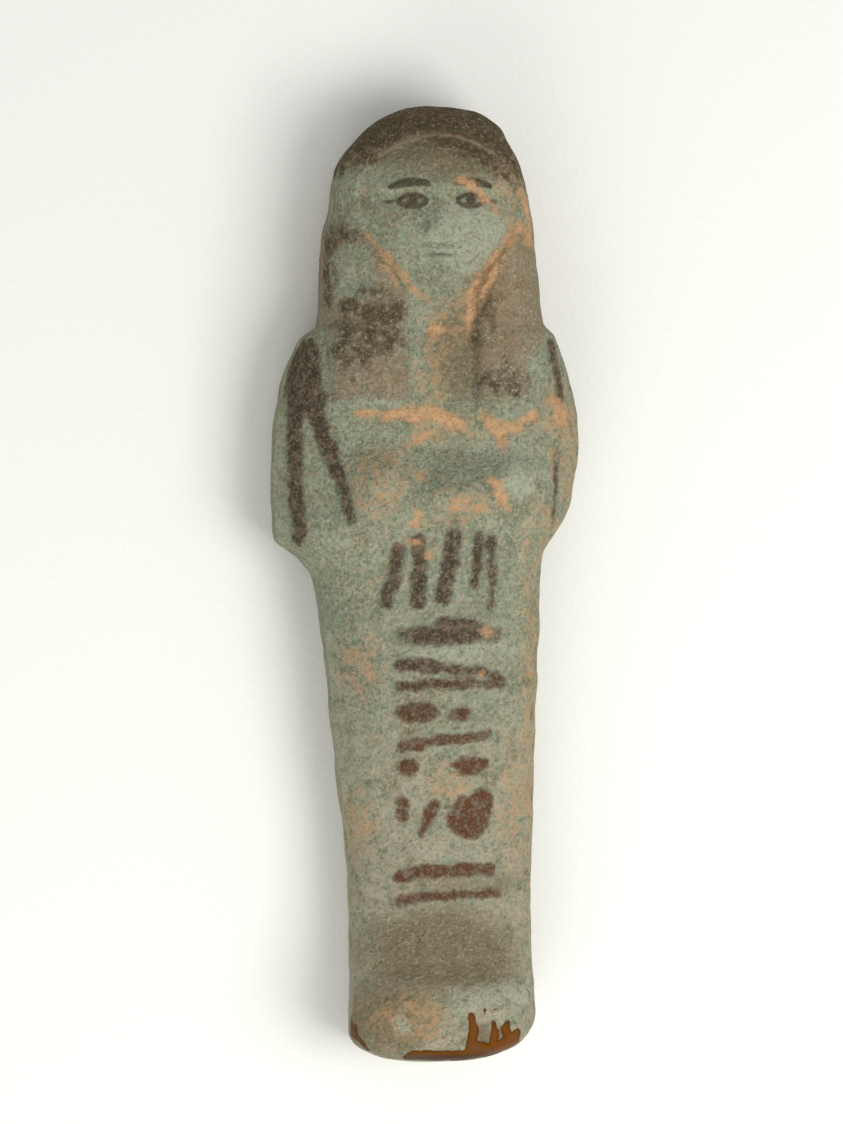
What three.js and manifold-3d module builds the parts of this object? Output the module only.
// A small moulded faience ushabti: a mummiform figure with a plain tripartite wig, forearms crossed on
// the chest, a smooth tapering shroud and feet that stand forward. One solid piece, lying on its back.
// Millimetres. The back rests on z = 0, +Y runs from the sole to the crown, +Z is the figure's front.
import * as THREE from "three";
import { mergeVertices } from "three/addons/utils/BufferGeometryUtils.js";
import Module from "manifold-3d";

// Driving dimensions
const LENGTH = 105; // sole to crown
const WIDTH = 34.2; // across the elbows
const DEPTH = 18.2; // flat back to the front of the face, without its nose
const BACK_GROUND_OFF = 0.9; // taken off the rounded back to leave it flat
const SOLE_GROUND_OFF = 0.35; // taken off the rounded foot end to leave a flat sole
const WIG_STEP = 1.0; // the wig's front edge and the lappets stand this far above the body
const RELIEF_SLOPE = 0.8; // width of the slope at each raised edge
const HAIRLINE_CORNER = 0.9; // radius where the hairline turns down at the temples
const LAPPET_CORNER = 0.8; // radius at the lappets' feet

// Every level below is a share of LENGTH above the sole, every width a share of half of WIDTH from the
// figure's middle line, and every height a share of DEPTH above the back.
const HALF = WIDTH / 2;

// The body level by level: its half width on the figure's right and left hand, the height of its
// widest line, the height of its front without carving, and how square its front is (2 is an ellipse)
const BODY = [
  { part: "sole", level: 0.0, right: 0.6, left: 0.6, side: 0.4, front: 0.915, square: 3.0 },
  { part: "toes", level: 0.058, right: 0.588, left: 0.59, side: 0.38, front: 0.935, square: 3.0 },
  { part: "instep", level: 0.108, right: 0.578, left: 0.588, side: 0.35, front: 0.77, square: 2.8 },
  { part: "ankle", level: 0.155, right: 0.58, left: 0.596, side: 0.33, front: 0.695, square: 2.7 },
  { part: "shin", level: 0.21, right: 0.59, left: 0.613, side: 0.33, front: 0.69, square: 2.6 },
  { part: "knee", level: 0.314, right: 0.656, left: 0.632, side: 0.34, front: 0.745, square: 2.5 },
  { part: "thigh", level: 0.419, right: 0.714, left: 0.667, side: 0.35, front: 0.79, square: 2.5 },
  { part: "hip", level: 0.505, right: 0.782, left: 0.69, side: 0.36, front: 0.815, square: 2.5 },
  { part: "elbow tip", level: 0.527, right: 0.885, left: 0.706, side: 0.36, front: 0.825, square: 2.4 },
  { part: "elbow", level: 0.549, right: 1.032, left: 0.79, side: 0.36, front: 0.835, square: 2.3 },
  { part: "forearm", level: 0.585, right: 1.047, left: 0.905, side: 0.36, front: 0.85, square: 2.3 },
  { part: "upper arm", level: 0.655, right: 1.033, left: 0.957, side: 0.37, front: 0.85, square: 2.3 },
  { part: "shoulder", level: 0.715, right: 0.962, left: 0.895, side: 0.38, front: 0.85, square: 2.3 },
  { part: "shoulder top", level: 0.757, right: 0.85, left: 0.8, side: 0.4, front: 0.85, square: 2.4 },
  { part: "neck", level: 0.772, right: 0.735, left: 0.722, side: 0.41, front: 0.855, square: 2.4 },
  { part: "wig sides", level: 0.82, right: 0.714, left: 0.687, side: 0.42, front: 0.87, square: 2.4 },
  { part: "jaw", level: 0.862, right: 0.699, left: 0.67, side: 0.43, front: 0.885, square: 2.3 },
  { part: "temple", level: 0.898, right: 0.635, left: 0.643, side: 0.44, front: 0.893, square: 2.4 },
  { part: "forehead", level: 0.937, right: 0.625, left: 0.58, side: 0.45, front: 0.9, square: 2.4 },
  { part: "upper head", level: 0.969, right: 0.59, left: 0.485, side: 0.46, front: 0.9, square: 2.3 },
  { part: "crown", level: 1.0, right: 0.6, left: 0.435, side: 0.47, front: 0.89, square: 2.1 },
];
const BACK_SQUARE = 3.4; // how square the back's long edges are

// How far each end rounds over, as a share of LENGTH, and how square the rounding is
const CROWN_ROUND = {
  right: { reach: 0.09, square: 2.1 },
  left: { reach: 0.03, square: 2.4 },
  front: { reach: 0.08, square: 2.1 },
  back: { reach: 0.07, square: 2.2 },
};
const SOLE_ROUND = {
  right: { reach: 0.029, square: 2.2 },
  left: { reach: 0.052, square: 2.0 },
  front: { reach: 0.024, square: 2.2 },
  back: { reach: 0.02, square: 2.2 },
};

// The wig's lappets: their outer edges, the level of their feet, and the levels between which the wig
// spreads from the lappets round to the back
const LAPPET = { outer: 0.7, foot: 0.681, spreadFrom: 0.762, spreadTo: 0.777 };

// The wig's edge is worn beside the face: what is left of WIG_STEP there, by level
const WORN_EDGE = [
  { part: "lappets", level: 0.84, left: 1.0 },
  { part: "temple", level: 0.895, left: 0.35 },
  { part: "upper temple", level: 0.932, left: 0.4 },
  { part: "hairline", level: 0.962, left: 0.8 },
];

// Half width of the opening in the wig: a strip of chest, the neck, then the face
const OPENING = [
  { part: "shroud", level: 0.0, half: 0.3 },
  { part: "chest", level: 0.6, half: 0.235 },
  { part: "neck", level: 0.792, half: 0.222 },
  { part: "chin", level: 0.812, half: 0.27 },
  { part: "jaw", level: 0.843, half: 0.405 },
  { part: "cheek", level: 0.87, half: 0.495 },
  { part: "temple", level: 0.9, half: 0.525 },
  { part: "upper temple", level: 0.93, half: 0.475 },
  { part: "hairline", level: 0.964, half: 0.37 },
  { part: "crown", level: 1.0, half: 0.3 },
];

// The face, on plain canon proportions: hairline, brow, nose base and chin are one third apart, and the
// face is five eyes wide. Its features are measured in those thirds.
const FACE = { chin: 0.804, hairline: 0.964, half: 0.5, widest: 0.89, upperSquare: 2.5, jawSquare: 1.85 };
const FACE_DOME = 0.078; // how far the cheeks and forehead round forward from the face's rim
const HAIRLINE_ARCH = 0.034; // how far the hairline drops from the middle to the temples
const THIRD = ((FACE.hairline - FACE.chin) / 3) * LENGTH;
const NOSE_BASE = FACE.chin * LENGTH + THIRD;
const EYE = { across: 0.57, up: 0.7 };
const MOUTH_UP = -0.33;
const NOSE = { bridgeHalf: 0.15, tipHalf: 0.28, bridgeHigh: 0.08, tipHigh: 0.23, under: 0.13, fade: 0.35 };

// Swellings and hollows of the face: places and reaches across and up from the nose's base, in thirds
const FEATURES = [
  { part: "upper lip", across: 0, up: MOUTH_UP + 0.08, wide: 0.38, tall: 0.08, high: 0.085 },
  { part: "lower lip", across: 0, up: MOUTH_UP - 0.09, wide: 0.32, tall: 0.09, high: 0.1 },
  { part: "mouth line", across: 0, up: MOUTH_UP, wide: 0.4, tall: 0.035, high: -0.05 },
  { part: "chin", across: 0, up: -0.78, wide: 0.38, tall: 0.2, high: 0.13 },
  ...onBothSides({ part: "socket", across: EYE.across, up: EYE.up, wide: 0.42, tall: 0.2, high: -0.15 }),
  ...onBothSides({ part: "eyeball", across: EYE.across, up: EYE.up, wide: 0.27, tall: 0.13, high: 0.13 }),
  ...onBothSides({ part: "brow", across: 0.62, up: 1.03, wide: 0.5, tall: 0.1, high: 0.05 }),
  ...onBothSides({ part: "nostril", across: 0.24, up: 0.12, wide: 0.1, tall: 0.12, high: 0.07 }),
  ...onBothSides({ part: "cheek", across: 0.8, up: 0.15, wide: 0.42, tall: 0.4, high: 0.08 }),
];

// Swellings and hollows of the body: widths, levels and heights as in BODY
const FIST = { part: "fist", across: 0.44, level: 0.607, wide: 0.2, long: 0.026, high: 0.07 };
const MOUNDS = [
  ...onBothSides(FIST),
  { part: "crossed wrists", across: 0.06, level: 0.59, wide: 0.17, long: 0.022, high: 0.045 },
  { part: "hollow over the wrists", across: 0.1, level: 0.642, wide: 0.3, long: 0.017, high: -0.055 },
];

// Forearms: low ridges from each elbow across the chest towards the other side's fist
const FOREARM = { elbow: 0.84, elbowLevel: 0.553, reach: 0.023, high: 0.06 };

// Mesh steps
const COLUMNS = [12, 1, 3, 1, 5]; // facets from the middle line out: opening, slope, lappet, slope, flank
const MIDDLE_CLOSER = 1.35; // how much closer the facets lie along the middle line
const BACK_STEPS = 10; // facets round the back of a section
const SOLE_RINGS = 7;
const CROWN_RINGS = 12;
const RISE = RELIEF_SLOPE / 2 / LENGTH; // half the slope of a raised edge that lies across the figure
const RINGS_ALONG = [
  { part: "feet", to: 0.125, step: 0.014 },
  { part: "shroud", to: 0.52, step: 0.044 },
  { part: "arms", to: LAPPET.foot - RISE, step: 0.012 },
  { part: "lappet ends", to: LAPPET.foot + RISE, step: 2 * RISE },
  { part: "lappets", to: 0.79, step: 0.012 },
  { part: "face", to: FACE.hairline - RISE, step: 0.0066 },
  { part: "hairline", to: FACE.hairline + RISE, step: 2 * RISE },
];

function onBothSides(swelling) {
  return [swelling, { ...swelling, across: -swelling.across }];
}

function clamp(x) {
  return Math.min(1, Math.max(0, x));
}

function mix(a, b, t) {
  return a + (b - a) * t;
}

// Smooth step from 0 at a to 1 at b
function ramp(a, b, x) {
  const t = clamp((x - a) / (b - a));
  return t * t * (3 - 2 * t);
}

// The smaller of two distances, with the corner between their edges rounded
function roundedLess(a, b, radius) {
  if (Math.max(a, b) >= radius) return Math.min(a, b);
  return radius - Math.hypot(radius - a, radius - b);
}

// A value of a table of stations at a level, smoothly through the stations and without overshoot
function along(table, key, level) {
  const last = table.length - 2;
  const above = table.findIndex((station) => station.level > level);
  const i = above < 0 ? last : Math.max(0, above - 1);
  const slope = (k) => (table[k + 1][key] - table[k][key]) / (table[k + 1].level - table[k].level);
  const tangent = (k) => {
    if (k === 0 || k > last) return 0;
    const before = slope(k - 1);
    const after = slope(k);
    return before * after <= 0 ? 0 : (2 * before * after) / (before + after);
  };
  const span = table[i + 1].level - table[i].level;
  const t = clamp((level - table[i].level) / span);
  return (
    table[i][key] * (2 * t ** 3 - 3 * t ** 2 + 1) +
    table[i + 1][key] * (3 * t ** 2 - 2 * t ** 3) +
    span * (tangent(i) * (t ** 3 - 2 * t ** 2 + t) + tangent(i + 1) * (t ** 3 - t ** 2))
  );
}

// Share of full size left at a distance from a rounded end, as a share of LENGTH
function rounding(distance, { reach, square }) {
  return (1 - clamp(1 - distance / reach) ** square) ** (1 / square);
}

function endRounding(key, level) {
  const overrun = SOLE_GROUND_OFF / LENGTH;
  return rounding(1 - level, CROWN_ROUND[key]) * rounding(level + overrun, SOLE_ROUND[key]);
}

function halfWidth(key, level) {
  return HALF * along(BODY, key, level) * endRounding(key, level);
}

function openingHalf(level) {
  return HALF * along(OPENING, "half", level);
}

// How far the hairline has dropped at a distance from the middle line, as a share of LENGTH
function hairlineDrop(x) {
  return HAIRLINE_ARCH * clamp(Math.abs(x) / openingHalf(FACE.hairline - HAIRLINE_ARCH)) ** 2;
}

// 1 where the wig and its lappets cover the front, 0 on the face, the neck and below the lappets
function wigCover(x, level) {
  const y = level * LENGTH;
  const out = Math.abs(x);
  const hairline = (FACE.hairline - hairlineDrop(x)) * LENGTH;
  const bare = roundedLess(openingHalf(level) - out, hairline - y, HAIRLINE_CORNER);
  const outer = LAPPET.outer * HALF + WIDTH * ramp(LAPPET.spreadFrom, LAPPET.spreadTo, level);
  const lappet = roundedLess(outer - out, y - LAPPET.foot * LENGTH, LAPPET_CORNER);
  return ramp(-RELIEF_SLOPE / 2, RELIEF_SLOPE / 2, Math.min(-bare, lappet));
}

// The nose: a wedge that widens and rises from the brow to its tip and turns under there
function nose(across, up) {
  const down = clamp(1 - up);
  const half = mix(NOSE.bridgeHalf, NOSE.tipHalf, down ** 1.5);
  const high = mix(NOSE.bridgeHigh, NOSE.tipHigh, down);
  const ends = ramp(-NOSE.under / 2, NOSE.under, up) * (1 - ramp(1, 1 + NOSE.fade, up));
  return high * ends * Math.exp(-((Math.abs(across) / half) ** 2.4));
}

function swelling(x, y, { wide, high }, tall) {
  return high * Math.exp(-((x / wide) ** 2) - (y / tall) ** 2);
}

// How high the face stands above its rim, in millimetres
function face(x, level) {
  const upper = level > FACE.widest;
  const end = upper ? FACE.hairline : FACE.chin;
  const square = upper ? FACE.upperSquare : FACE.jawSquare;
  const out = Math.abs(x) / HALF / FACE.half;
  const off = (level - FACE.widest) / (end - FACE.widest);
  const inside = clamp(1 - (out ** square + off ** square) ** (1 / square));
  const across = x / THIRD;
  const up = (level * LENGTH - NOSE_BASE) / THIRD;
  let carved = nose(across, up);
  for (const part of FEATURES) carved += swelling(across - part.across, up - part.up, part, part.tall);
  return DEPTH * FACE_DOME * (1 - (1 - inside) ** 2) + THIRD * carved * ramp(0, 0.12, inside);
}

function forearm(x, level, side) {
  const elbow = [side * FOREARM.elbow * HALF, FOREARM.elbowLevel * LENGTH];
  const run = [-side * FIST.across * HALF - elbow[0], FIST.level * LENGTH - elbow[1]];
  const to = [x - elbow[0], level * LENGTH - elbow[1]];
  const t = clamp((to[0] * run[0] + to[1] * run[1]) / (run[0] ** 2 + run[1] ** 2));
  const off = Math.hypot(to[0] - t * run[0], to[1] - t * run[1]);
  return FOREARM.high * Math.exp(-((off / FOREARM.reach / LENGTH) ** 2));
}

// Height of the carving above the plain front, in millimetres
function relief(x, level) {
  let body = Math.hypot(forearm(x, level, 1), forearm(x, level, -1));
  for (const part of MOUNDS) body += swelling(x / HALF - part.across, level - part.level, part, part.long);
  const wig = WIG_STEP * along(WORN_EDGE, "left", level) * wigCover(x, level);
  return wig + face(x, level) + DEPTH * body;
}

// How much a ring bends down with the hairline: fully on it, not at the eyes or the top of the crown
function bend(level) {
  return ramp(FACE.widest, FACE.hairline, level) * (1 - ramp(FACE.hairline, 1, level));
}

// Places across half a section that the mesh follows: the opening's edge and the lappet's outer edge
function columns(level, half) {
  const slope = Math.min(0.03, RELIEF_SLOPE / 2 / half);
  const inner = Math.min(0.84, openingHalf(level - HAIRLINE_ARCH * bend(level)) / half);
  const outer = Math.min(0.94, (LAPPET.outer * HALF) / half);
  const stops = [0, inner - slope, inner + slope, outer - slope, outer + slope, 1];
  const places = [];
  COLUMNS.forEach((count, zone) => {
    const from = Math.asin(stops[zone]);
    const to = Math.asin(stops[zone + 1]);
    const closer = zone === 0 ? MIDDLE_CLOSER : 1;
    for (let i = 1; i <= count; i++) places.push(Math.sin(mix(from, to, (i / count) ** closer)));
  });
  return places;
}

// One point of the front, on the ring of a level
function frontPoint(key, place, ringLevel) {
  const side = key === "right" ? -1 : 1;
  const x = side * place * halfWidth(key, ringLevel);
  const level = ringLevel - bend(ringLevel) * hairlineDrop(x) * (1 - ramp(0.9, 1, place));
  const share = Math.min(1, Math.abs(x) / halfWidth(key, level));
  const square = along(BODY, "square", level);
  const rise = (1 - share ** square) ** (1 / square);
  const widest = along(BODY, "side", level);
  const rounded = endRounding("front", level);
  const plain = DEPTH * mix(widest, along(BODY, "front", level), rise * rounded);
  return [x, level * LENGTH, plain + ramp(0.1, 0.6, rise) * rounded * relief(x, level)];
}

// One closed ring of points at a level, from the right hand over the front to the left and round the back
function ring(level) {
  const points = [];
  const right = columns(level, halfWidth("right", level));
  const left = columns(level, halfWidth("left", level));
  for (let i = right.length - 1; i >= 0; i--) points.push(frontPoint("right", right[i], level));
  points.push(frontPoint("left", 0, level));
  for (const place of left) points.push(frontPoint("left", place, level));
  const side = DEPTH * along(BODY, "side", level);
  const sink = (side + BACK_GROUND_OFF) * endRounding("back", level);
  for (let i = 1; i < BACK_STEPS; i++) {
    const place = Math.cos((Math.PI * i) / BACK_STEPS);
    const depth = (1 - Math.abs(place) ** BACK_SQUARE) ** (1 / BACK_SQUARE);
    const half = halfWidth(place < 0 ? "right" : "left", level);
    points.push([place * half, level * LENGTH, side - sink * depth]);
  }
  return points;
}

// Levels of all rings, close together where the form is fine
function ringLevels() {
  const levels = [];
  const quarter = (i, count) => 1 - Math.cos((Math.PI / 2) * (i / count));
  const overrun = SOLE_GROUND_OFF / LENGTH;
  const soleReach = SOLE_ROUND.right.reach;
  for (let i = 1; i <= SOLE_RINGS; i++) levels.push(soleReach * quarter(i, SOLE_RINGS) - overrun);
  let from = levels[levels.length - 1];
  for (const zone of RINGS_ALONG) {
    const count = Math.max(1, Math.round((zone.to - from) / zone.step));
    for (let i = 1; i <= count; i++) levels.push(mix(from, zone.to, i / count));
    from = zone.to;
  }
  for (let i = CROWN_RINGS - 1; i > 0; i--) levels.push(1 - (1 - from) * quarter(i, CROWN_RINGS));
  return levels;
}

// The closed skin through all rings, with a fan at each end
function skin() {
  const rings = ringLevels().map(ring);
  const around = rings[0].length;
  const positions = rings.flat(2);
  const index = [];
  const addTip = (row, y) => {
    const mean = (axis) => row.reduce((sum, point) => sum + point[axis], 0) / around;
    positions.push(mean(0), y, mean(2));
    return positions.length / 3 - 1;
  };
  const soleTip = addTip(rings[0], -SOLE_GROUND_OFF);
  const crownTip = addTip(rings[rings.length - 1], LENGTH);
  const top = (rings.length - 1) * around;
  for (let i = 0; i < around; i++) {
    const j = (i + 1) % around;
    index.push(soleTip, j, i);
    for (let a = 0; a < top; a += around) {
      const b = a + around;
      index.push(a + i, a + j, b + j, a + i, b + j, b + i);
    }
    index.push(crownTip, top + i, top + j);
  }
  const geometry = new THREE.BufferGeometry();
  geometry.setAttribute("position", new THREE.Float32BufferAttribute(positions, 3));
  geometry.setIndex(index);
  return geometry;
}

const wasm = await Module();
wasm.setup();

function solid(geometry) {
  const bare = geometry.clone();
  bare.deleteAttribute("normal");
  bare.deleteAttribute("uv");
  const merged = mergeVertices(bare, 1e-4);
  return new wasm.Manifold(
    new wasm.Mesh({
      numProp: 3,
      vertProperties: new Float32Array(merged.attributes.position.array),
      triVerts: new Uint32Array(merged.index.array),
    }),
  );
}

function geometryOf(manifold) {
  const mesh = manifold.getMesh();
  const positions = [];
  for (let i = 0; i < mesh.numVert; i++) {
    const at = i * mesh.numProp;
    positions.push(...mesh.vertProperties.subarray(at, at + 3));
  }
  const geometry = new THREE.BufferGeometry();
  geometry.setAttribute("position", new THREE.Float32BufferAttribute(positions, 3));
  geometry.setIndex([...mesh.triVerts]);
  geometry.computeVertexNormals();
  return geometry;
}

// A block that takes away everything on the far side of a plane through the origin
function grindingBlock(direction) {
  const size = 4 * LENGTH;
  const block = new THREE.BoxGeometry(size, size, size);
  block.translate(...direction.map((share) => (share * size) / 2));
  return solid(block);
}

// The skin with its back and sole ground flat, its back on z = 0 and its outline centred
function figurine() {
  const ground = solid(skin())
    .subtract(grindingBlock([0, 0, -1]))
    .subtract(grindingBlock([0, -1, 0]));
  const geometry = geometryOf(ground);
  geometry.computeBoundingBox();
  const { min, max } = geometry.boundingBox;
  geometry.translate(-(min.x + max.x) / 2, -(min.y + max.y) / 2, -min.z);
  const faience = new THREE.MeshStandardMaterial({ color: 0x8d8f79, roughness: 0.85, metalness: 0 });
  const mesh = new THREE.Mesh(geometry, faience);
  mesh.name = "ushabti_figurine";
  return mesh;
}

const ushabti = new THREE.Group();
ushabti.add(figurine());

export default ushabti;
